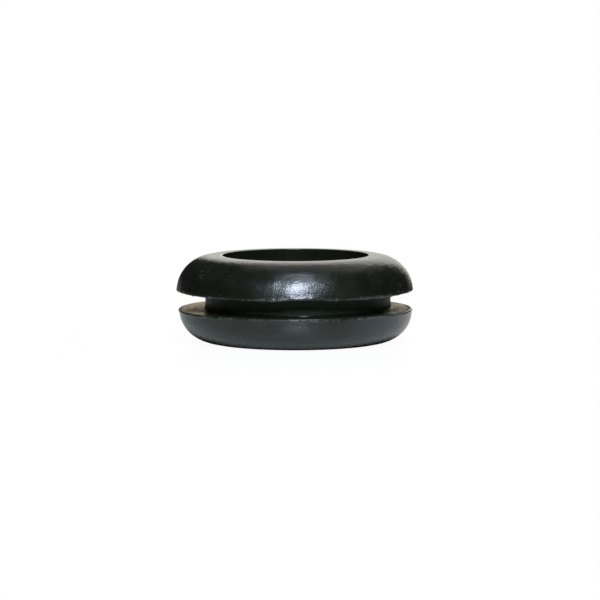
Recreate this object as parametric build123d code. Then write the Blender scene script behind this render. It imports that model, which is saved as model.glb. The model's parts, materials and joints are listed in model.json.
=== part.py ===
from build123d import *
import os

# Open rubber grommet for a round hole in a panel, moulded in one piece.
# It is one section turned about Z: two domed flanges, the neck between them and a straight bore.
# The underside of the lower flange lies on Z = 0.

# Driving dimensions in millimetres
neck_diameter = 20.0           # floor of the groove, fills the hole in the panel
groove_width = 2.0             # gap between the flanges, takes the panel
bore_diameter = 15.8           # way through for the cable
upper_flange_diameter = 25.3
lower_flange_diameter = 25.1
upper_flange_height = 3.7      # is also the radius of the quarter-round dome
lower_flange_height = 3.6      # is also the radius of the quarter-round dome
bore_mouth_chamfer = 0.15      # broken edge at both ends of the bore

# Places along the axis
groove_floor_height = lower_flange_height
groove_roof_height = lower_flange_height + groove_width
overall_height = groove_roof_height + upper_flange_height


def flange_section(diameter, height):
    """Half section of one flange, from the axis to its rim, flat below and domed above."""
    rim_radius = diameter / 2
    land_radius = rim_radius - height
    with BuildSketch() as flange:
        with BuildLine():
            Line((0, 0), (rim_radius, 0))
            CenterArc((land_radius, 0), height, start_angle=0, arc_size=90)
            Line((land_radius, height), (0, height))
            Line((0, height), (0, 0))
        make_face()
    return flange.sketch


def band_section(radius, bottom, top):
    """Half section of a round bar on the axis, between two heights."""
    bar = Rectangle(radius, top - bottom, align=(Align.MIN, Align.MIN))
    return Pos(0, bottom) * bar


def grommet_section():
    """Half section of the whole moulding, with the edges of the bore broken."""
    upper_flange = flange_section(upper_flange_diameter, upper_flange_height)
    lower_flange = flange_section(lower_flange_diameter, lower_flange_height)
    upper = Pos(0, groove_roof_height) * upper_flange
    lower = Pos(0, groove_floor_height) * mirror(lower_flange, about=Plane.XZ)
    neck = band_section(neck_diameter / 2, groove_floor_height, groove_roof_height)
    bore = band_section(bore_diameter / 2, 0, overall_height)
    section = upper + neck + lower - bore
    mouths = [(bore_diameter / 2, 0), (bore_diameter / 2, overall_height)]
    corners = [section.vertices().sort_by_distance(mouth)[0] for mouth in mouths]
    return chamfer(corners, bore_mouth_chamfer)


def rubber_grommet():
    """The section turned once round the bore's axis."""
    return revolve(Plane.XZ * grommet_section(), axis=Axis.Z)


os.makedirs("parts", exist_ok=True)
export_step(rubber_grommet(), "parts/rubber_grommet.step")
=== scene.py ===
"""Looks of a rubber grommet: the moulding with its flash, wear and dust, and a plain studio round it.

The file is laid out as an add-on and is run as a script. Lengths are metres and angles are radians,
unless a name says otherwise. Azimuth 0 is towards the camera's side and grows to the right.
"""
import json
import math
from types import SimpleNamespace
from typing import NamedTuple

import bpy
from bpy.props import FloatProperty, FloatVectorProperty, IntProperty, PointerProperty
from mathutils import Matrix, Quaternion, Vector


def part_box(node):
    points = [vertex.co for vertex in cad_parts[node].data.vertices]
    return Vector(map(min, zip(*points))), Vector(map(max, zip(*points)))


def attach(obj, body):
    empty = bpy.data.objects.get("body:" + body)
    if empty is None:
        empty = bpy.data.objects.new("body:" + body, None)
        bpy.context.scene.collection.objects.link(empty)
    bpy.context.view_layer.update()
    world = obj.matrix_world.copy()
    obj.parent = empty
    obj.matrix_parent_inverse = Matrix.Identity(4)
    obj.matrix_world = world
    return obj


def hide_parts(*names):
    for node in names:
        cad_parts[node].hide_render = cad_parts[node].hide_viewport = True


bl_info = {
    "name": "Rubber grommet",
    "version": (1, 0, 0),
    "blender": (4, 5, 0),
    "location": "View3D > Sidebar > Grommet",
    "description": "Builds a moulded rubber grommet and a plain studio round a packed model",
    "category": "Add Mesh",
}

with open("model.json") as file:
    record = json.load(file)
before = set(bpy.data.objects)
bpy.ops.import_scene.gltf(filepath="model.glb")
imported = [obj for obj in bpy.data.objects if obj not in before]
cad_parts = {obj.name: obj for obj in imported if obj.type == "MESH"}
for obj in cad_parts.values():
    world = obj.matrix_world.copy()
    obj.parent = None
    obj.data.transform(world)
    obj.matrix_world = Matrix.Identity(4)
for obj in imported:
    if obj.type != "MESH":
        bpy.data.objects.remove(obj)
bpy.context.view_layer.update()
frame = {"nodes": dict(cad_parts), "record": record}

NODE = "rubber_grommet"
BODY = "root"
MM = 0.001


def span(low, high):
    """Two lengths that are given in millimetres."""
    return low * MM, high * MM


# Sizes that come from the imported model

mounts = {mount["name"]: mount for mount in frame["record"]["mounts"]}
groove = mounts["panel_groove"]
groove_middle = groove["pos_m"][2]
groove_half = groove["dims"]["length_mm"] * MM / 2
node_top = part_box(NODE)[1]
lower_vertices = [v.co for v in frame["nodes"][NODE].data.vertices if v.co.z < groove_middle]
lower_reach = max(co.xy.length for co in lower_vertices)


# Settings a user would change

def length(name, description, default):
    """A property that holds a length."""
    return FloatProperty(
        name=name, description=description, default=default, precision=5, unit="LENGTH", subtype="DISTANCE"
    )


def angle(name, description, degrees):
    """A property that holds an angle."""
    return FloatProperty(
        name=name, description=description, default=math.radians(degrees), unit="ROTATION", subtype="ANGLE"
    )


def colour(name, description, default):
    """A property that holds a linear colour."""
    return FloatVectorProperty(
        name=name, description=description, default=default, size=3, min=0, max=1, subtype="COLOR"
    )


def share(name, description, default):
    """A property that holds a number from 0 to 1."""
    return FloatProperty(name=name, description=description, default=default, min=0, max=1, subtype="FACTOR")


def level(name, description, default):
    """A property that holds how bright something is, where 1 is white."""
    return FloatProperty(name=name, description=description, default=default, min=0)


class GrommetShape(bpy.types.PropertyGroup):
    """Section of the moulding and what the mould left on it."""

    upper_rim: length("Upper rim", "Radius of the upper flange", node_top.x)
    lower_rim: length("Lower rim", "Radius of the lower flange", lower_reach)
    neck: length("Neck", "Radius of the groove's floor", groove["dims"]["r_mm"] * MM)
    bore: length("Bore", "Radius of the bore", mounts["cable_bore"]["dims"]["r_mm"] * MM)
    shelf: length("Shelf", "Height of the lower flange", groove_middle - groove_half)
    roof: length("Roof", "Height at which the upper flange begins", groove_middle + groove_half)
    top: length("Top", "Overall height", node_top.z)
    mouth: length("Bore mouth", "Radius of the edge at both ends of the bore", 0.03 * MM)
    upper_edge: length("Upper rim edge", "Radius of the upper rim's groove-side edge", 0.06 * MM)
    lower_edge: length("Lower rim edge", "Radius of the lower rim's groove-side edge", 0.13 * MM)
    root: length("Neck root", "Radius of the groove's upper inside corner", 0.08 * MM)
    foot: length("Neck foot", "How far the neck widens where it meets the shelf", 0.14 * MM)
    foot_height: length("Foot height", "How far up the neck the widening starts", 0.8 * MM)
    worn: length("Worn edge", "How far the upper rim's edge is worn back in front", 0.25 * MM)
    burr: length("Burr", "Reach of the burr along the worn edge", 0.04 * MM)
    burr_height: length("Burr height", "How far from the worn edge the burr starts", 0.3 * MM)
    neck_shift: length("Neck shift", "How far the mould's core sat to the right at the neck", 0.35 * MM)
    bore_shift: length("Bore shift", "How far the bore sits to the right", 0.09 * MM)
    upper_lip: length("Upper lip", "How far the upper rim flares out at its groove-side edge", 0.055 * MM)
    lower_lip: length("Lower lip", "How far the lower rim flares out at its groove-side edge", 0.07 * MM)
    upper_lip_height: length("Upper lip height", "How far from the edge the upper flare starts", 0.9 * MM)
    lower_lip_height: length("Lower lip height", "How far from the edge the lower flare starts", 0.4 * MM)
    swell: length("Swell", "How much fuller than a true arc the upper dome is at its rim", 0.06 * MM)
    swell_height: length("Swell height", "How far up the upper dome the swell reaches", 2.4 * MM)
    upper_lean: length("Upper lean", "How far the upper flange leans down in front, at its rim", 0.11 * MM)
    lower_droop: length("Lower droop", "How far the lower rim droops in front", 0.05 * MM)
    base_shift: length("Base shift", "How far the underside's outer edge sits to the right", 0.2 * MM)
    rim_shift: length("Rim shift", "How far the lower rim sits to the right", 0.07 * MM)
    grit: length("Grit", "Height of the gritty surface of the shelf", 0.125 * MM)
    sliver: length("Sliver", "Height of the sliver of rubber left at the neck's root in front", 0.18 * MM)
    upper_flash: length("Upper flash", "Longest reach of the flash at the upper rim", 0.15 * MM)
    lower_flash: length("Lower flash", "Longest reach of the flash at the lower rim", 0.075 * MM)
    waver: length("Waver", "How far the moulded faces stray from true", 0.02 * MM)
    segments: IntProperty(name="Segments", description="Faces round the axis", default=960, min=3)


class GrommetFinish(bpy.types.PropertyGroup):
    """Colours and gloss of the rubber and of the dust on it."""

    rubber: colour("Rubber", "Colour of the moulded faces", (0.0037, 0.0043, 0.0018))
    bloom: colour("Bloom", "Greyer tint in which the moulded faces are mottled", (0.006, 0.0065, 0.0038))
    groove: colour("Groove", "Colour of the groove's faces", (0.021, 0.032, 0.017))
    dust: colour("Dust", "Tan dust on the shelf", (0.6, 0.51, 0.34))
    dirt: colour("Dirt", "Darker dirt between the dust", (0.11, 0.083, 0.04))
    clay: colour("Clay", "Warmer dust on the shelf at the left", (0.72, 0.48, 0.16))
    # The torn colour also paints sheen on the neck's ends in the groove's finish.
    torn: colour("Torn edge", "Torn rubber along the flash, and scuffs", (0.044, 0.042, 0.037))
    # Painted light: this pale colour paints sheen at the neck's left end and a highlight on the sliver at its
    # root.
    fleck: colour("Fleck", "Pale rubber of the sliver and of the scoured neck", (0.17, 0.18, 0.17))
    chalk: colour("Chalk", "Grey streaks round the lower flange", (0.0115, 0.0125, 0.0105))
    # A lighter, cooler tint that grows towards the right of the lower flange.
    haze: colour("Haze", "Cool bloom on the lower flange at the right", (0.024, 0.0245, 0.029))
    gloss: share("Moulded roughness", "Roughness of the moulded faces", 0.28)
    dull: share("Groove roughness", "Roughness of the groove's faces", 0.6)


class GrommetStudio(bpy.types.PropertyGroup):
    """Camera, light and floor."""

    view_height: angle("View height", "Height of the camera above the horizon", 5.44)
    view_roll: angle("View roll", "Turn of the camera about its own axis", -0.1)
    view_distance: length("View distance", "From the camera to the grommet's axis", 259.3 * MM)
    view_width: length("View width", "Width of the picture at the grommet", 64.83 * MM)
    view_right: length("View right", "How far right of the axis the picture's middle lies", 0.573 * MM)
    view_down: length("View down", "How far below the groove's middle the picture's middle lies", 0.186 * MM)
    key: level("Key lamp", "Radiance of the lamp in front", 42.5)
    window: level("Window", "Radiance of the wide dim panel round the key", 0.55)
    overhead: level("Overhead lamp", "Radiance of the dimmer lamp above the key", 7.5)
    ceiling: level("Ceiling", "Radiance of the panel overhead", 0.5)
    backdrop: level("Backdrop", "Radiance of the white card behind", 1.34)
    side: level("Side", "Radiance of the dim panel low behind on the left", 0.24)
    room: level("Room", "Radiance of the dim room", 0.02)
    floor: colour("Floor", "Colour of the floor", (0.6, 0.6, 0.525))
    # Painted shadow: this dark floor colour is painted in a ring close under the lower flange
    contact: colour("Contact", "Colour of the floor close under the lower flange", (0.02, 0.02, 0.018))


# Node trees

class Port:
    """A socket of a node tree. Arithmetic on it adds Math nodes to that tree."""

    def __init__(self, graph, socket):
        self.graph = graph
        self.socket = socket

    def math(self, operation, *others):
        """Any other operation of a Math node on this value."""
        return self.graph.math(operation, self, *others)

    def __add__(self, other):
        return self.graph.math("ADD", self, other)

    def __radd__(self, other):
        return self.graph.math("ADD", other, self)

    def __sub__(self, other):
        return self.graph.math("SUBTRACT", self, other)

    def __rsub__(self, other):
        return self.graph.math("SUBTRACT", other, self)

    def __mul__(self, other):
        return self.graph.math("MULTIPLY", self, other)

    def __rmul__(self, other):
        return self.graph.math("MULTIPLY", other, self)

    def __truediv__(self, other):
        return self.graph.math("DIVIDE", self, other)

    def __rtruediv__(self, other):
        return self.graph.math("DIVIDE", other, self)

    def __neg__(self):
        return self.graph.math("MULTIPLY", self, -1)

    def clamped(self):
        """The value held between 0 and 1."""
        return self.math("MAXIMUM", 0).math("MINIMUM", 1)

    def above(self, low, high):
        """0 where the value is under low, 1 where it is over high, and smooth between."""
        sockets = {"Value": self, "From Min": low, "From Max": high}
        return self.graph.node("ShaderNodeMapRange", {"interpolation_type": "SMOOTHSTEP"}, sockets)


class Graph:
    """Adds nodes to one tree."""

    def __init__(self, tree):
        self.tree = tree

    @staticmethod
    def find(sockets, key):
        """The socket with that identifier, or else the usable one with that name or number."""
        if isinstance(key, int):
            return sockets[key]
        named = [s for s in sockets if s.identifier == key]
        named = named or [s for s in sockets if s.name == key and s.enabled]
        if not named:
            raise KeyError(f"no socket {key} among {[s.identifier for s in sockets]}")
        return named[0]

    def node(self, kind, settings=None, sockets=None, out=0):
        """A new node of that kind: its settings are set first, then its sockets. Gives one of its outputs."""
        made = self.tree.nodes.new(kind)
        for name, value in (settings or {}).items():
            setattr(made, name, value)
        for key, value in (sockets or {}).items():
            self.feed(self.find(made.inputs, key), value)
        if not made.outputs:
            return None
        return Port(self, self.find(made.outputs, out))

    def feed(self, socket, value):
        """Links a port to a socket, or sets the socket's own value."""
        if isinstance(value, (list, tuple)) and value and isinstance(value[0], Port):
            for port in value:
                self.tree.links.new(port.socket, socket)
        elif isinstance(value, Port):
            self.tree.links.new(value.socket, socket)
        else:
            socket.default_value = value

    def math(self, operation, *values):
        """A Math node on those values."""
        return self.node("ShaderNodeMath", {"operation": operation}, dict(enumerate(values)))

    def vector(self, x, y, z):
        """A vector of three values."""
        return self.node("ShaderNodeCombineXYZ", None, {"X": x, "Y": y, "Z": z})

    def parts(self, vector):
        """The X, Y and Z of a vector."""
        made = self.node("ShaderNodeSeparateXYZ", None, {"Vector": vector}).socket.node
        return [Port(self, made.outputs[axis]) for axis in "XYZ"]

    def scaled(self, vector, factor):
        """A vector times a value."""
        sockets = {"Vector": vector, "Scale": factor}
        return self.node("ShaderNodeVectorMath", {"operation": "SCALE"}, sockets, "Vector")

    def noise(self, vector, detail=2.0, rough=0.5):
        """Noise from 0 to 1 with features about one unit of the vector apart."""
        sockets = {"Vector": vector, "Scale": 1.0, "Detail": detail, "Roughness": rough}
        return self.node("ShaderNodeTexNoise", {"noise_dimensions": "3D"}, sockets, "Fac")

    def speckle(self, place, size, detail=2.0, rough=0.5):
        """Noise from 0 to 1 with features of about that size."""
        return self.noise(self.scaled(place, 1 / size), detail, rough)

    def blend(self, factor, first, second):
        """A colour between two colours."""
        sockets = {"Factor_Float": factor, "A_Color": first, "B_Color": second}
        return self.node("ShaderNodeMix", {"data_type": "RGBA"}, sockets, "Result_Color")


def rgba(colour_value):
    """A colour as a colour socket takes it."""
    return (*colour_value, 1.0)


# The moulding

ROWS = {
    "base": 1,
    "lower dome": 17,
    "lower rim": 8,
    "shelf": 24,
    "lower root": 5,
    "neck": 3,
    "upper root": 2,
    "roof": 2,
    "upper rim": 10,
    "upper dome": 20,
    "land": 2,
    "upper mouth": 3,
    "bore top": 1,
    "bore": 2,
    "bore foot": 1,
    "lower mouth": 3,
}
ROW_CROWDING_SHARE = 0.65
BAKE_MAP = "OFBake"
WELD = 0.001 * MM
QUARTER = math.pi / 2

# The flash's reach round a rim: radius and strength of the noise for its patches, tears and fray
FLASH_LAYERS = ((3.2, 1.9), (16.0, 1.5), (52.0, 1.3))
FLASH_MEAN = 0.42
LAYER_STEP = 10.0

# Where the flash and the wear are: seeds, reach from the edge, and how far out and up the flash points
LOWER_SEED = 3.0
UPPER_SEED = 7.0
LOWER_TORN = 0.2 * MM
UPPER_TORN = 0.28 * MM
WORN_TORN = 0.14 * MM
FIN_HALF_SHARE = 0.3
LOWER_FLASH_LINE = (0.6, 0.8)
UPPER_FLASH_LINE = (0.1, -0.9)

# How much rounder the lower rim's edge is at the sides, and how much of its lip is gone in front
SIDE_EDGE_SHARE = 1.45
FRONT_LIP_LOSS_SHARE = 0.8

# How much of the bore's wall goes with each mouth, against the mouth's radius
MOUTH_MARGIN_SHARE = 4

# Stretches of the front: middle, half and fade of each, as cosines of the turn
WORN_STRETCH = (0.08, 0.22, 0.12)
BURR_STRETCH = (0.03, 0.3, 0.15)

# The sliver at the neck's root: middle and half along the shelf, and round it as cosines of the turn
SLIVER_ALONG = (0.93, 0.07)
SLIVER_ROUND = (0.065, 0.085)

# Unevenness of the moulded faces and the shelf
GRIT_SIZE = 0.4 * MM
GRIT_FADE = 8
WAVER_SIZE = 3.5 * MM
WAVER_START = span(0.05, 0.6)


class Section:
    """Turns the lines and arcs of a half section into rings of faces, each with its place in one map."""

    def __init__(self, graph, segments):
        self.graph = graph
        self.columns = segments + 1
        across, up, _ = graph.parts(graph.node("GeometryNodeInputPosition"))
        self.round = across + 0.5
        self.along = up + 0.5
        self.to_go = 1 - self.along
        turn = self.round * math.tau
        self.cosine = turn.math("COSINE")
        self.sine = turn.math("SINE")
        self.front = -self.sine
        self.rings = []
        self.row = 0

    def line(self, name, start, end, **marks):
        """A ring along a straight stretch, each end given as radius and height."""
        radius = start[0] + (end[0] - start[0]) * self.along
        height = start[1] + (end[1] - start[1]) * self.along
        self.ring(name, radius, height, **marks)

    def arc(self, name, centre, reach, first, last, **marks):
        """A ring along an arc that reaches so far out and up, from one angle to another."""
        swing = first + (last - first) * self.along
        radius = centre[0] + reach[0] * swing.math("COSINE")
        height = centre[1] + reach[1] * swing.math("SINE")
        self.ring(name, radius, height, **marks)

    def ring(self, name, radius, height, shift=0.0, lift=0.0, torn=0.0, groove=0.0):
        """A ring of faces, shifted to the right and lifted, with what the finish needs stored on it."""
        rows = ROWS[name]
        sockets = {"Size X": 1.0, "Size Y": 1.0, "Vertices X": self.columns, "Vertices Y": rows + 1}
        mesh = self.graph.node("GeometryNodeMeshGrid", None, sockets)
        up = (self.row + self.along * rows) / sum(ROWS.values())
        mesh = self.store(mesh, BAKE_MAP, self.graph.vector(self.round, up, 0.0), "FLOAT2", "CORNER")
        mesh = self.store(mesh, "groove", groove, "FLOAT", "FACE")
        mesh = self.store(mesh, "torn", torn, "FLOAT", "POINT")
        place = self.graph.vector(radius * self.cosine + shift, radius * self.sine, height + lift)
        sockets = {"Geometry": mesh, "Position": place}
        self.rings.append(self.graph.node("GeometryNodeSetPosition", None, sockets))
        self.row += rows

    def store(self, mesh, name, value, data_type, domain):
        """The mesh with a value stored on it under that name."""
        settings = {"data_type": data_type, "domain": domain}
        sockets = {"Geometry": mesh, "Name": name, "Value": value}
        return self.graph.node("GeometryNodeStoreNamedAttribute", settings, sockets)


def ragged(section, seed):
    """How far the flash reaches round a rim, from 0 to about 1: long patches with a torn edge."""
    graph = section.graph
    reach = FLASH_MEAN
    for layer, (radius, strength) in enumerate(FLASH_LAYERS):
        place = graph.vector(section.cosine * radius, section.sine * radius, seed + layer * LAYER_STEP)
        reach = reach + (graph.noise(place) - 0.5) * strength
    return reach.clamped()


def fin(section):
    """Profile of the flash across a rim's edge: 1 in the middle and 0 near both sides."""
    return (1 - (section.along - 0.5).math("ABSOLUTE") / FIN_HALF_SHARE).clamped()


def crowded(share_of_arc):
    """The same share of an arc, with rows that lie closer together where it starts."""
    return share_of_arc * (1 - ROW_CROWDING_SHARE + ROW_CROWDING_SHARE * share_of_arc)


def front_stretch(section, middle, half, fade):
    """1 along a stretch of the front edge and 0 beyond its ends."""
    inside = (half - (section.cosine - middle).math("ABSOLUTE")) / fade
    return inside.clamped() * section.front.above(0.0, 0.1)


def bump_at(value, middle, half):
    """A smooth bump of height 1 round one value."""
    slope = (1 - (value - middle).math("ABSOLUTE") / half).clamped()
    return slope.above(0.0, 1.0)


def gritty(section, radius):
    """Uneven surface of the shelf, from about -0.5 to 0.5: rough at the sides and back, clean in front."""
    graph = section.graph
    spot = radius / GRIT_SIZE
    uneven = graph.noise(graph.vector(section.cosine * spot, section.sine * spot, 0.0), 2.0, 0.6) - 0.5
    inside = (section.along * GRIT_FADE).clamped() * (section.to_go * GRIT_FADE).clamped()
    return uneven * inside * (1 - section.front.above(0.25, 0.6))


def leaning(section, given):
    """How far the upper flange leans up or down, for each metre from the axis."""
    return section.sine * given.upper_lean / given.upper_rim


def lower_flange(section, given):
    """Adds the underside, the lower dome and its rim. Gives the rim's end and how far the rim droops."""
    along, to_go, front = section.along, section.to_go, section.front
    edge = given.lower_edge * (SIDE_EDGE_SHARE - front.above(0.3, 0.8) * (SIDE_EDGE_SHARE - 1))
    lip = given.lower_lip * (1 - front.above(0.6, 0.95) * FRONT_LIP_LOSS_SHARE)
    land = given.lower_rim - given.shelf
    ledge = given.shelf - edge
    end = given.lower_rim + lip - edge
    droop = front.above(0.0, 0.45) * -given.lower_droop

    shift = given.bore_shift * to_go + given.base_shift * along
    section.line("base", (given.bore + given.mouth, 0.0), (land, 0.0), shift=shift)

    swing = crowded(to_go) * QUARTER
    fall = ledge * swing.math("SINE")
    flare = (1 - fall / given.lower_lip_height).clamped()
    radius = land + given.shelf * swing.math("COSINE") + lip * flare * flare
    tears = ragged(section, LOWER_SEED) * front.above(0.0, 0.5)
    torn = (1 - fall / LOWER_TORN).clamped() * tears
    shift = given.base_shift * to_go + given.rim_shift * along
    section.ring("lower dome", radius, ledge - fall, shift=shift, lift=droop * along * along, torn=torn)

    rise = fin(section) * tears * given.lower_flash
    swing = along * QUARTER
    radius = end + edge * swing.math("COSINE") + rise * LOWER_FLASH_LINE[0]
    height = ledge + edge * swing.math("SINE") + rise * LOWER_FLASH_LINE[1]
    section.ring("lower rim", radius, height, shift=given.rim_shift, lift=droop, torn=tears)
    return end, droop


def panel_groove(section, given, rim_end, droop):
    """Adds the shelf, from the lower rim's end inwards, and the neck with its foot and root."""
    along, to_go, front = section.along, section.to_go, section.front
    radius = rim_end + (given.neck + given.foot - rim_end) * along
    # The sliver is raised, and the torn mark it carries lets the groove's finish paint a highlight on it.
    sliver = bump_at(along, *SLIVER_ALONG) * bump_at(section.cosine, *SLIVER_ROUND) * front.above(0.0, 0.1)
    lift = droop * to_go + gritty(section, radius) * given.grit + sliver * given.sliver
    shift = given.rim_shift * to_go + given.neck_shift * along
    section.ring("shelf", radius, given.shelf, shift=shift, lift=lift, torn=sliver, groove=1.0)

    wall = {"shift": given.neck_shift, "groove": 1.0}
    foot_rise = given.foot + (given.foot_height - given.foot) * (1 - front.above(0.2, 0.6))
    foot = (given.neck + given.foot, given.shelf + foot_rise)
    section.arc("lower root", foot, (given.foot, foot_rise), -QUARTER, -2 * QUARTER, **wall)
    root = (given.neck + given.root, given.roof - given.root)
    section.line("neck", (given.neck, foot[1]), (given.neck, root[1]), **wall)
    section.arc("upper root", root, (given.root, given.root), 2 * QUARTER, QUARTER, **wall)


def upper_flange(section, given):
    """Adds the groove's roof, the upper rim with its flash and worn edge, the upper dome and the land."""
    along, to_go, front = section.along, section.to_go, section.front
    land = given.upper_rim - (given.top - given.roof)
    ledge = given.roof + given.upper_edge
    lean = leaning(section, given)
    tears = ragged(section, UPPER_SEED)
    worn = front_stretch(section, *WORN_STRETCH)
    worn_back = worn * (0.4 + tears * 0.6) * given.worn
    burr = front_stretch(section, *BURR_STRETCH) * (0.5 + tears * 0.5) * given.burr

    def dome(swing):
        """Radius and rise of the dome at an angle of its arc."""
        rise = (given.top - ledge) * swing.math("SINE")
        flare = (1 - (rise - worn_back) / given.upper_lip_height).clamped()
        raised = (1 - (rise - worn_back) / given.burr_height).clamped()
        fuller = rise / given.swell_height
        radius = land + (given.top - given.roof) * swing.math("COSINE")
        radius = radius + given.upper_lip * flare * flare
        radius = radius + given.swell * (1 - fuller * fuller).clamped()
        return radius + burr * raised * raised, rise

    start = (worn_back / (given.top - ledge)).math("ARCSINE")
    rim_radius, rim_rise = dome(start)
    end = rim_radius - given.upper_edge - worn_back
    ceiling = {"shift": given.neck_shift * to_go, "lift": lean * end * along, "groove": 1.0}
    section.line("roof", (given.neck + given.root, given.roof), (end, given.roof), **ceiling)

    flash = tears * (1 - worn) * (0.35 + front.above(0.2, 0.6) * 0.65)
    drop = fin(section) * flash * given.upper_flash
    swing = (along - 1) * QUARTER
    radius = end + (given.upper_edge + worn_back) * swing.math("COSINE")
    radius = radius + drop * UPPER_FLASH_LINE[0]
    height = given.roof + (given.upper_edge + rim_rise) * (1 + swing.math("SINE"))
    height = height + drop * UPPER_FLASH_LINE[1]
    section.ring("upper rim", radius, height, lift=lean * radius, torn=flash)

    radius, rise = dome(start + (QUARTER - start) * crowded(along))
    torn = (1 - rise / UPPER_TORN).clamped() * flash
    torn = torn + (1 - (rise - worn_back) / WORN_TORN).clamped() * worn * tears
    section.ring("upper dome", radius, ledge + rise, lift=lean * radius, torn=torn)

    inner = given.bore + given.mouth
    marks = {"shift": given.bore_shift * along, "lift": lean * (land + (inner - land) * along)}
    section.line("land", (land, given.top), (inner, given.top), **marks)


def cable_bore(section, given):
    """Adds the bore, from its upper mouth to its lower one."""
    bore, mouth, top, shift = given.bore, given.mouth, given.top, given.bore_shift
    lean = leaning(section, given)
    round_edge = (mouth, mouth)
    lift = lean * (bore + mouth * section.to_go)
    centre = (bore + mouth, top - mouth)
    section.arc("upper mouth", centre, round_edge, QUARTER, 2 * QUARTER, shift=shift, lift=lift)
    margin = mouth * MOUTH_MARGIN_SHARE
    lift = lean * bore
    section.line("bore top", (bore, top - mouth), (bore, top - mouth - margin), shift=shift, lift=lift)
    lift = lift * section.to_go
    section.line("bore", (bore, top - mouth - margin), (bore, mouth + margin), shift=shift, lift=lift)
    section.line("bore foot", (bore, mouth + margin), (bore, mouth), shift=shift)
    section.arc("lower mouth", (bore + mouth, mouth), round_edge, 2 * QUARTER, 3 * QUARTER, shift=shift)


def stray(graph, mesh, waver):
    """Moves the faces a little in and out, as soft rubber leaves the mould, and leaves the underside flat."""
    place = graph.node("GeometryNodeInputPosition")
    height = graph.parts(place)[2]
    swell = graph.speckle(place, WAVER_SIZE) - 0.5
    amount = swell * waver * height.above(*WAVER_START)
    normal = graph.node("GeometryNodeInputNormal")
    offset = graph.scaled(normal, amount)
    return graph.node("GeometryNodeSetPosition", None, {"Geometry": mesh, "Offset": offset})


def moulding_tree(sizes):
    """The tree that turns the moulding's section. Gives the tree and the identifiers of its inputs."""
    tree = bpy.data.node_groups.new("grommet_moulding", "GeometryNodeTree")
    tree.interface.new_socket("Geometry", in_out="OUTPUT", socket_type="NodeSocketGeometry")
    kinds = {name: "NodeSocketFloat" for name in sizes}
    kinds["segments"] = "NodeSocketInt"
    kinds["moulded_rubber"] = "NodeSocketMaterial"
    kinds["groove_rubber"] = "NodeSocketMaterial"
    keys = {}
    for name, kind in kinds.items():
        keys[name] = tree.interface.new_socket(name, in_out="INPUT", socket_type=kind).identifier
    graph = Graph(tree)
    group = tree.nodes.new("NodeGroupInput")
    given = SimpleNamespace()
    for name, key in keys.items():
        setattr(given, name, Port(graph, Graph.find(group.outputs, key)))

    section = Section(graph, given.segments)
    lower_rim_end, droop = lower_flange(section, given)
    panel_groove(section, given, lower_rim_end, droop)
    upper_flange(section, given)
    cable_bore(section, given)

    joined = graph.node("GeometryNodeJoinGeometry", None, {"Geometry": section.rings})
    welded = graph.node("GeometryNodeMergeByDistance", None, {"Geometry": joined, "Distance": WELD})
    strayed = stray(graph, welded, given.waver)
    smooth = graph.node("GeometryNodeSetShadeSmooth", None, {"Geometry": strayed})
    real = graph.node("GeometryNodeRealizeInstances", None, {"Geometry": smooth})
    sockets = {"Geometry": real, "Material": given.moulded_rubber}
    dressed = graph.node("GeometryNodeSetMaterial", None, sockets)
    in_groove = graph.node("GeometryNodeInputNamedAttribute", {"data_type": "FLOAT"}, {"Name": "groove"})
    sockets = {"Geometry": dressed, "Material": given.groove_rubber}
    sockets["Selection"] = in_groove.math("GREATER_THAN", 0.5)
    dressed = graph.node("GeometryNodeSetMaterial", None, sockets)
    graph.node("NodeGroupOutput", None, {"Geometry": dressed})
    return tree, keys


def plain_mesh(name, tree, inputs):
    """An object at the origin whose mesh is what the tree makes of those inputs."""
    piece = bpy.data.objects.new(name, bpy.data.meshes.new(name))
    bpy.context.scene.collection.objects.link(piece)
    modifier = piece.modifiers.new("moulding", "NODES")
    modifier.node_group = tree
    for key, value in inputs.items():
        modifier[key] = value
    evaluated = piece.evaluated_get(bpy.context.evaluated_depsgraph_get())
    made = bpy.data.meshes.new_from_object(evaluated)
    piece.modifiers.remove(modifier)
    empty = piece.data
    piece.data = made
    bpy.data.meshes.remove(empty)
    made.name = name
    if not made.polygons:
        raise RuntimeError(f"{name} has no faces")
    return piece


# Finishes

# Sizes of the patterns in the rubber
GRAIN_WIDTH = 0.16 * MM
GRAIN_HEIGHT = 0.13 * MM
DENT_SIZE = 1.3 * MM
MOTTLE_SIZE = 1.8 * MM
SCUFFED_SIZE = 3.0 * MM
FLECK_SIZE = 0.3 * MM

# Length, spacing and seed of each kind of turning mark
MARKS = (1.8 * MM, 0.3 * MM, 0.0)
SCUFFS = (1.1 * MM, 0.16 * MM, 40.0)
DASHES = (1.1 * MM, 0.15 * MM, 70.0)
STREAKS = (4.0 * MM, 0.4 * MM, 90.0)

# Two spots on the upper flange that were rubbed, and how a spot fades out
RUBBED_SPOTS = (Vector((-9.6, -6.8, 8.0)) * MM, Vector((11.1, -6.2, 5.9)) * MM)
RUBBED_FADE = span(0.5, 1.3)

# Where the moulded faces change: heights of the flanges, and places to the right of the axis and out from it
LOWER_FLANGE_TOP = span(3.3, 3.8)
SMOOTH_TOP = span(7.3, 8.4)
UNDERSIDE_END = span(0.2, 1.5)
LOWER_RIGHT_START = span(4.0, 10.0)
BORE_END = span(7.95, 8.15)

# Heights of the bumps on the moulded faces, in millimetres
GRAIN_RISE = 0.018
MARK_RISE = 0.03
FLECK_RISE = 0.01
BORE_DENT_RISE = 0.01
SKIN_DENT_RISE = 0.04
LOWER_DENT_LOSS = 0.02

# Sizes of the patterns in the groove
GRIT_GRAIN_SIZE = 0.22 * MM
CLUMP_SIZE = 0.55 * MM
PATCH_SIZE = 1.5 * MM
GROOVE_BUMP = 0.015 * MM

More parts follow.
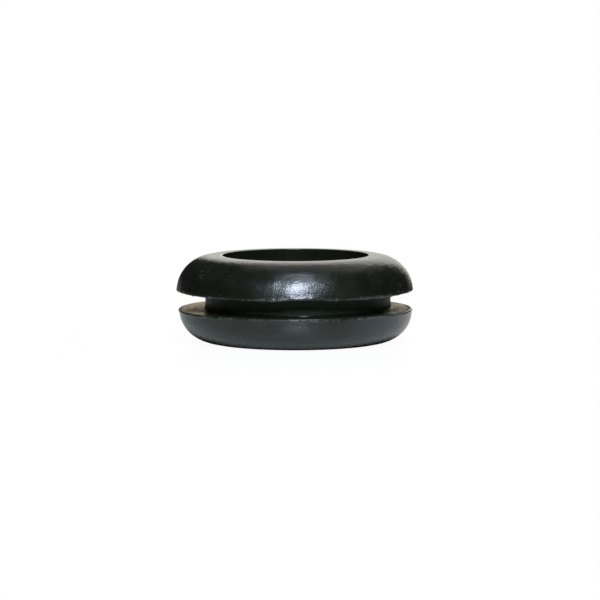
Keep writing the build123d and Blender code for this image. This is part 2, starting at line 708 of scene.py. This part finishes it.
# Where the groove's faces change: heights, distances from the axis, and places to a side and to the front
SHELF_TOP = span(3.72, 3.85)
PAINTED_SHEEN_START = span(4.0, 4.8)
BARE_RIM_START = span(12.0, 12.4)
BARE_RIM_BACK = span(-4.5, -1.5)
ASIDE = span(9.3, 9.7)
PAINTED_SHEEN_NECK_ENDS = span(7.5, 9.5)
PAINTED_LEFT_SHEEN_START = span(7.0, 9.3)
CLAY_START = span(6.0, 10.0)
DUST_FREE_FRONT_START = span(0.0, 1.0)
DUST_SHEEN = (1.0, 0.84, 0.6, 1.0)


def new_material(name):
    """A material with an empty tree. Gives the material and its graph."""
    material = bpy.data.materials.new(name)
    material.use_nodes = True
    material.node_tree.nodes.clear()
    return material, Graph(material.node_tree)


def attribute(graph, name):
    """What the moulding's tree stored on the mesh under that name."""
    return graph.node("ShaderNodeAttribute", {"attribute_name": name}, None, "Fac")


def object_place(graph):
    """The place on a piece, in the model's own frame."""
    return graph.node("ShaderNodeTexCoord", None, None, "Object")


def from_axis(graph, x, y):
    """How far a place is from the bore's axis."""
    return (x * x + y * y).math("SQRT")


def distance(graph, place, centre):
    """How far a place is from a centre."""
    return graph.node("ShaderNodeVectorMath", {"operation": "DISTANCE"}, {0: place, 1: centre}, "Value")


def turning_marks(graph, place, length_round, spacing, seed):
    """Fine marks that run round the axis, as the mould was turned on a lathe."""
    x, y, z = graph.parts(place)
    radius = from_axis(graph, x, y)
    circle = node_top.x / length_round
    heading = graph.vector(x / radius * circle, y / radius * circle, radius / spacing + seed)
    sockets = {"Vector": heading, "W": z / spacing, "Scale": 1.0, "Detail": 2.0, "Roughness": 0.55}
    return graph.node("ShaderNodeTexNoise", {"noise_dimensions": "4D"}, sockets, "Fac")


def moulded_rubber(finish):
    """Satin black rubber: grain, dents, turning marks, a faint bloom, scuffs, streaks and torn grey edges."""
    material, graph = new_material("moulded_rubber")
    place = object_place(graph)
    x, y, z = graph.parts(place)
    low = 1 - z.above(*LOWER_FLANGE_TOP)
    outside = from_axis(graph, x, y).above(*BORE_END)
    skin = outside * z.above(*UNDERSIDE_END)

    grain = graph.noise(graph.vector(x / GRAIN_WIDTH, y / GRAIN_WIDTH, z / GRAIN_HEIGHT), 0.0)
    dents = graph.speckle(place, DENT_SIZE, 1.0)
    mottle = graph.speckle(place, MOTTLE_SIZE, 4.0, 0.6)
    flecks = graph.speckle(place, FLECK_SIZE, 3.0, 0.7)
    torn = attribute(graph, "torn").above(0.1, 0.6)
    marks = turning_marks(graph, place, *MARKS)
    streaks = turning_marks(graph, place, *STREAKS).above(0.48, 0.68)
    dashes = turning_marks(graph, place, *DASHES).above(0.5, 0.64) * 0.5
    left_spot, right_spot = [distance(graph, place, spot) for spot in RUBBED_SPOTS]
    rubbed = 1 - left_spot.math("MINIMUM", right_spot).above(*RUBBED_FADE)
    scuffed = graph.speckle(place, SCUFFED_SIZE, 1.0).above(0.55, 0.7)
    scuffs = turning_marks(graph, place, *SCUFFS).above(0.62, 0.72) * scuffed * 0.5
    scuffs = scuffs.math("MAXIMUM", dashes * rubbed)

    tint = graph.blend(mottle.above(0.35, 0.75), rgba(finish.rubber), rgba(finish.bloom))
    tint = graph.blend(streaks * low * 0.6, tint, rgba(finish.chalk))
    # The lower flange is tinted lighter and cooler towards the right.
    tint = graph.blend(x.above(*LOWER_RIGHT_START) * low * 0.9, tint, rgba(finish.haze))
    tint = graph.blend(scuffs, tint, rgba(finish.torn))
    tint = graph.blend(torn * flecks.above(0.42, 0.6), tint, rgba(finish.torn))
    tint = graph.blend((1 - outside) * 0.7, tint, rgba(finish.bloom))
    rough = finish.gloss + (mottle - 0.5) * 0.12 + scuffs * 0.15 + torn * 0.06 + (outside - 1) * 0.1

    coarse = 1 - z.above(*SMOOTH_TOP) * 0.5 - low * 0.6
    height = (grain * coarse * GRAIN_RISE + marks * MARK_RISE + flecks * torn * FLECK_RISE) * skin
    height = height + dents * (BORE_DENT_RISE + skin * (SKIN_DENT_RISE - low * LOWER_DENT_LOSS))
    normal = graph.node("ShaderNodeBump", None, {"Strength": 1.0, "Distance": MM, "Height": height})
    sockets = {"Base Color": tint, "Roughness": rough.clamped(), "Normal": normal}
    shader = graph.node("ShaderNodeBsdfPrincipled", None, sockets)
    graph.node("ShaderNodeOutputMaterial", None, {"Surface": shader})
    return material


def groove_rubber(finish):
    """Matt rubber of the groove: a neck with painted sheen towards its ends, paler still at the left, a
    painted highlight on the sliver at its root, and a shelf with tan dust, none in front, and a bare rim.
    """
    material, graph = new_material("groove_rubber")
    place = object_place(graph)
    x, y, z = graph.parts(place)
    radius = from_axis(graph, x, y)
    aside = x.math("ABSOLUTE")
    on_shelf = 1 - z.above(*SHELF_TOP)
    on_neck = 1 - on_shelf

    grain = graph.speckle(place, GRIT_GRAIN_SIZE, 3.0, 0.65)
    clumps = graph.speckle(place, CLUMP_SIZE, 3.0, 0.6)
    patches = graph.speckle(place, PATCH_SIZE, 3.0, 0.6)
    # No dust on the shelf in front, so the shelf is darker there.
    dust_free_front = (1 - aside.above(*ASIDE)) * (-y).above(*DUST_FREE_FRONT_START)
    dust_free_front = (-y / radius).above(0.55, 0.8).math("MAXIMUM", dust_free_front)
    bare_rim = (radius + (clumps - 0.5) * MM).above(*BARE_RIM_START) * (-y).above(*BARE_RIM_BACK)
    dusty = on_shelf * (1 - dust_free_front) * (0.2 + clumps.above(0.42, 0.54) * 0.8) * (1 - bare_rim * 0.8)
    # Painted sheen: the neck is painted lighter towards its two ends, and its roughness eases there.
    ends = aside.above(*PAINTED_SHEEN_NECK_ENDS) * on_neck
    normal = graph.node("ShaderNodeBump", None, {"Strength": 1.0, "Distance": GROOVE_BUMP, "Height": grain})

    # Painted sheen on the neck's upper part towards its ends, in the torn colour.
    tint = graph.blend(ends * z.above(*PAINTED_SHEEN_START) * 0.4, rgba(finish.groove), rgba(finish.torn))
    # Painted sheen: the neck is painted paler still towards its left end.
    tint = graph.blend((-x).above(*PAINTED_LEFT_SHEEN_START) * on_neck * 0.33, tint, rgba(finish.fleck))
    tint = graph.blend(on_shelf * 0.8, tint, rgba(finish.rubber))
    # Painted highlight: the raised sliver at the neck's root, marked as torn on the shelf, is painted pale.
    tint = graph.blend(attribute(graph, "torn").above(0.1, 0.4), tint, rgba(finish.fleck))
    rough = finish.dull - on_shelf * 0.2 + on_shelf * bare_rim * 0.4 - ends * 0.1 + (grain - 0.5) * 0.3
    sockets = {"Base Color": tint, "Roughness": rough.clamped(), "Normal": normal, "Specular IOR Level": 0.15}
    bare = graph.node("ShaderNodeBsdfPrincipled", None, sockets)

    pale = grain.above(0.4, 0.62) * (0.5 + patches.above(0.3, 0.7) * 0.5)
    tint = graph.blend(pale, rgba(finish.dirt), rgba(finish.dust))
    tint = graph.blend((-x).above(*CLAY_START) * 0.5, tint, rgba(finish.clay))
    sockets = {"Base Color": tint, "Roughness": 0.4, "Metallic": 0.5, "Normal": normal}
    sockets["Specular Tint"] = DUST_SHEEN
    dust = graph.node("ShaderNodeBsdfPrincipled", None, sockets)
    mixed = graph.node("ShaderNodeMixShader", None, {"Fac": dusty, 1: bare, 2: dust})
    graph.node("ShaderNodeOutputMaterial", None, {"Surface": mixed})
    return material


# The studio

WHITE = (1.0, 1.0, 1.0, 1.0)
FLOOR_HALF = 0.05
FLOOR_GAP = 0.005 * MM
SEEN_WHITE_SHARE = 0.95
MIRRORED_WHITE_SHARE = 0.95

# Where the floor changes: its shadow, the painted shadow ring close under the lower flange, and what the
# rubber mirrors
SHADOW_END = span(12.0, 35.0)
PAINTED_SHADOW_END = span(9.6, 10.8)
PAINTED_SHADOW_SHIFT = 0.25 * MM
PAINTED_SHADOW_SHARES = (0.9, 1.07)
MIRRORED_START = span(-5.4, 14.6)
MIRRORED_SLANT = 0.4


class Lamp(NamedTuple):
    """A soft rectangular lamp: its level in the settings, where it is, its size and its tint."""

    name: str
    level: str
    azimuth_degrees: float
    elevation_degrees: float
    distance: float
    width: float
    height: float
    tint: tuple = (1.0, 1.0, 1.0)
    roll_degrees: float = 0.0


# After the level: azimuth and elevation in degrees, then distance, width and height in metres
LAMPS = (
    Lamp("key_lamp", "key", 2.5, 37.5, 0.35, 0.095, 0.19, tint=(0.76, 0.86, 1.0), roll_degrees=-7),
    Lamp("window_panel", "window", 2.5, 37.5, 0.4, 0.36, 0.26, tint=(0.12, 0.8, 1.0)),
    Lamp("overhead_lamp", "overhead", 16, 69, 0.35, 0.07, 0.2, tint=(0.7, 0.82, 1.0)),
    Lamp("backdrop_card", "backdrop", 173, 20, 0.45, 0.24, 0.36, tint=(1.0, 0.985, 0.93)),
    Lamp("ceiling_panel", "ceiling", 163, 60, 0.45, 0.36, 0.28),
    Lamp("side_panel", "side", -160, -3.5, 0.45, 0.17, 0.07),
)


def floor_material(studio):
    """Pale floor that looks white to the camera, keeps a faint shadow and has a painted shadow ring close
    under the rubber.
    """
    material, graph = new_material("studio_floor")
    white = graph.node("ShaderNodeEmission", None, {"Color": WHITE, "Strength": 1.0})
    seen = graph.node("ShaderNodeLightPath", None, None, "Is Camera Ray")
    rays = seen.socket.node
    mirrored = Port(graph, rays.outputs["Is Glossy Ray"]) + Port(graph, rays.outputs["Is Transmission Ray"])
    x, y, _ = graph.parts(object_place(graph))
    far = from_axis(graph, x, y).above(*SHADOW_END)
    across, deep = PAINTED_SHADOW_SHARES
    # Painted shadow ring close under the lower flange: it darkens the floor's colour and keeps the mirrored
    # white out of it
    clear = from_axis(graph, x * across - PAINTED_SHADOW_SHIFT, y * deep).above(*PAINTED_SHADOW_END)
    behind = (y + x * MIRRORED_SLANT).above(*MIRRORED_START) * clear
    tint = graph.blend(clear, rgba(studio.contact), rgba(studio.floor))
    lit = graph.node("ShaderNodeBsdfPrincipled", None, {"Base Color": tint, "Roughness": 0.3})
    factor = seen * (SEEN_WHITE_SHARE + (1 - SEEN_WHITE_SHARE) * far)
    factor = factor + mirrored.clamped() * behind * MIRRORED_WHITE_SHARE
    mixed = graph.node("ShaderNodeMixShader", None, {"Fac": factor, 1: lit, 2: white})
    graph.node("ShaderNodeOutputMaterial", None, {"Surface": mixed})
    return material


def studio_floor(studio):
    """The surface that the grommet stands on."""
    mesh = bpy.data.meshes.new("studio_floor")
    corners = [(-1, -1), (1, -1), (1, 1), (-1, 1)]
    mesh.from_pydata([(x * FLOOR_HALF, y * FLOOR_HALF, -FLOOR_GAP) for x, y in corners], [], [(0, 1, 2, 3)])
    floor = bpy.data.objects.new("studio_floor", mesh)
    mesh.materials.append(floor_material(studio))
    bpy.context.scene.collection.objects.link(floor)


def studio_room(studio):
    """A dim room that is white where the camera looks straight at it."""
    world = bpy.data.worlds.new("studio_room")
    world.use_nodes = True
    world.node_tree.nodes.clear()
    graph = Graph(world.node_tree)
    dim = graph.node("ShaderNodeBackground", None, {"Color": WHITE, "Strength": studio.room})
    white = graph.node("ShaderNodeBackground", None, {"Color": WHITE, "Strength": 1.0})
    seen = graph.node("ShaderNodeLightPath", None, None, "Is Camera Ray")
    mixed = graph.node("ShaderNodeMixShader", None, {"Fac": seen, 1: dim, 2: white})
    graph.node("ShaderNodeOutputWorld", None, {"Surface": mixed})
    bpy.context.scene.world = world


def bearing(azimuth, elevation):
    """The direction at that azimuth and elevation."""
    flat = math.cos(elevation)
    return Vector((math.sin(azimuth) * flat, -math.cos(azimuth) * flat, math.sin(elevation)))


def studio_lamp(lamp, radiance):
    """Hangs a lamp that faces the grommet's middle and that the camera doesn't see."""
    light = bpy.data.lights.new(lamp.name, "AREA")
    light.shape = "RECTANGLE"
    light.size = lamp.width
    light.size_y = lamp.height
    light.energy = radiance * math.pi * lamp.width * lamp.height
    light.color = lamp.tint
    direction = bearing(math.radians(lamp.azimuth_degrees), math.radians(lamp.elevation_degrees))
    facing = direction.to_track_quat("Z", "Y") @ Quaternion((0, 0, 1), math.radians(lamp.roll_degrees))
    hung = bpy.data.objects.new(lamp.name, light)
    hung.location = direction * lamp.distance + Vector((0, 0, groove_middle))
    hung.rotation_euler = facing.to_euler()
    hung.visible_camera = False
    bpy.context.scene.collection.objects.link(hung)


def studio_lamps(studio):
    """The lamps in front that make the highlight, and the pale panels that the rubber mirrors."""
    for lamp in LAMPS:
        studio_lamp(lamp, getattr(studio, lamp.level))


def studio_camera(studio):
    """The camera at the photograph's viewing angle."""
    back = bearing(0.0, studio.view_height)
    right = Vector((1, 0, 0))
    up = back.cross(right)
    turn = Matrix.Rotation(studio.view_roll, 3, back)
    right, up = turn @ right, turn @ up
    middle = Vector((0, 0, groove_middle)) + right * studio.view_right - up * studio.view_down
    lens = bpy.data.cameras.new("camera")
    lens.sensor_fit = "HORIZONTAL"
    lens.angle = 2 * math.atan(studio.view_width / 2 / studio.view_distance)
    lens.clip_start = studio.view_distance / 100
    lens.clip_end = studio.view_distance * 10
    camera = bpy.data.objects.new("camera", lens)
    place = Matrix.Translation(middle + back * studio.view_distance)
    camera.matrix_world = place @ Matrix((right, up, back)).transposed().to_4x4()
    bpy.context.scene.collection.objects.link(camera)
    bpy.context.scene.camera = camera


# Operators and panel

class GROMMET_OT_moulding(bpy.types.Operator):
    """Build the moulded rubber body with its flash"""

    bl_idname = "grommet.make_moulding"
    bl_label = "Make Moulding"

    def execute(self, context):
        shape = context.scene.grommet_shape
        sizes = {name: getattr(shape, name) for name in GrommetShape.__annotations__}
        finish = context.scene.grommet_finish
        tree, keys = moulding_tree(sizes)
        inputs = {keys[name]: value for name, value in sizes.items()}
        inputs[keys["moulded_rubber"]] = moulded_rubber(finish)
        inputs[keys["groove_rubber"]] = groove_rubber(finish)
        piece = plain_mesh("grommet_moulding", tree, inputs)
        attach(piece, BODY)
        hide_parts(NODE)
        return {"FINISHED"}


class GROMMET_OT_studio(bpy.types.Operator):
    """Set up the floor, the room, the lamps and the camera"""

    bl_idname = "grommet.make_studio"
    bl_label = "Make Studio"

    def execute(self, context):
        studio = context.scene.grommet_studio
        studio_floor(studio)
        studio_room(studio)
        studio_lamps(studio)
        studio_camera(studio)
        context.scene.view_settings.view_transform = "Standard"
        return {"FINISHED"}


class GROMMET_PT_sidebar(bpy.types.Panel):
    """Sizes, finish and studio of the grommet"""

    bl_idname = "GROMMET_PT_sidebar"
    bl_label = "Grommet"
    bl_space_type = "VIEW_3D"
    bl_region_type = "UI"
    bl_category = "Grommet"

    def draw(self, context):
        scene = context.scene
        for group in (scene.grommet_shape, scene.grommet_finish, scene.grommet_studio):
            box = self.layout.box()
            for name in type(group).__annotations__:
                box.prop(group, name)
        self.layout.operator(GROMMET_OT_moulding.bl_idname)
        self.layout.operator(GROMMET_OT_studio.bl_idname)


CLASSES = (
    GrommetShape,
    GrommetFinish,
    GrommetStudio,
    GROMMET_OT_moulding,
    GROMMET_OT_studio,
    GROMMET_PT_sidebar,
)


def register():
    """Makes the settings, the operators and the panel known to Blender."""
    for made in CLASSES:
        bpy.utils.register_class(made)
    bpy.types.Scene.grommet_shape = PointerProperty(type=GrommetShape)
    bpy.types.Scene.grommet_finish = PointerProperty(type=GrommetFinish)
    bpy.types.Scene.grommet_studio = PointerProperty(type=GrommetStudio)


def unregister():
    """Takes back what register did."""
    del bpy.types.Scene.grommet_studio
    del bpy.types.Scene.grommet_finish
    del bpy.types.Scene.grommet_shape
    for made in reversed(CLASSES):
        bpy.utils.unregister_class(made)


def main():
    """Builds the grommet and its studio."""
    register()
    bpy.ops.grommet.make_moulding()
    bpy.ops.grommet.make_studio()


if __name__ == "__main__":
    main()
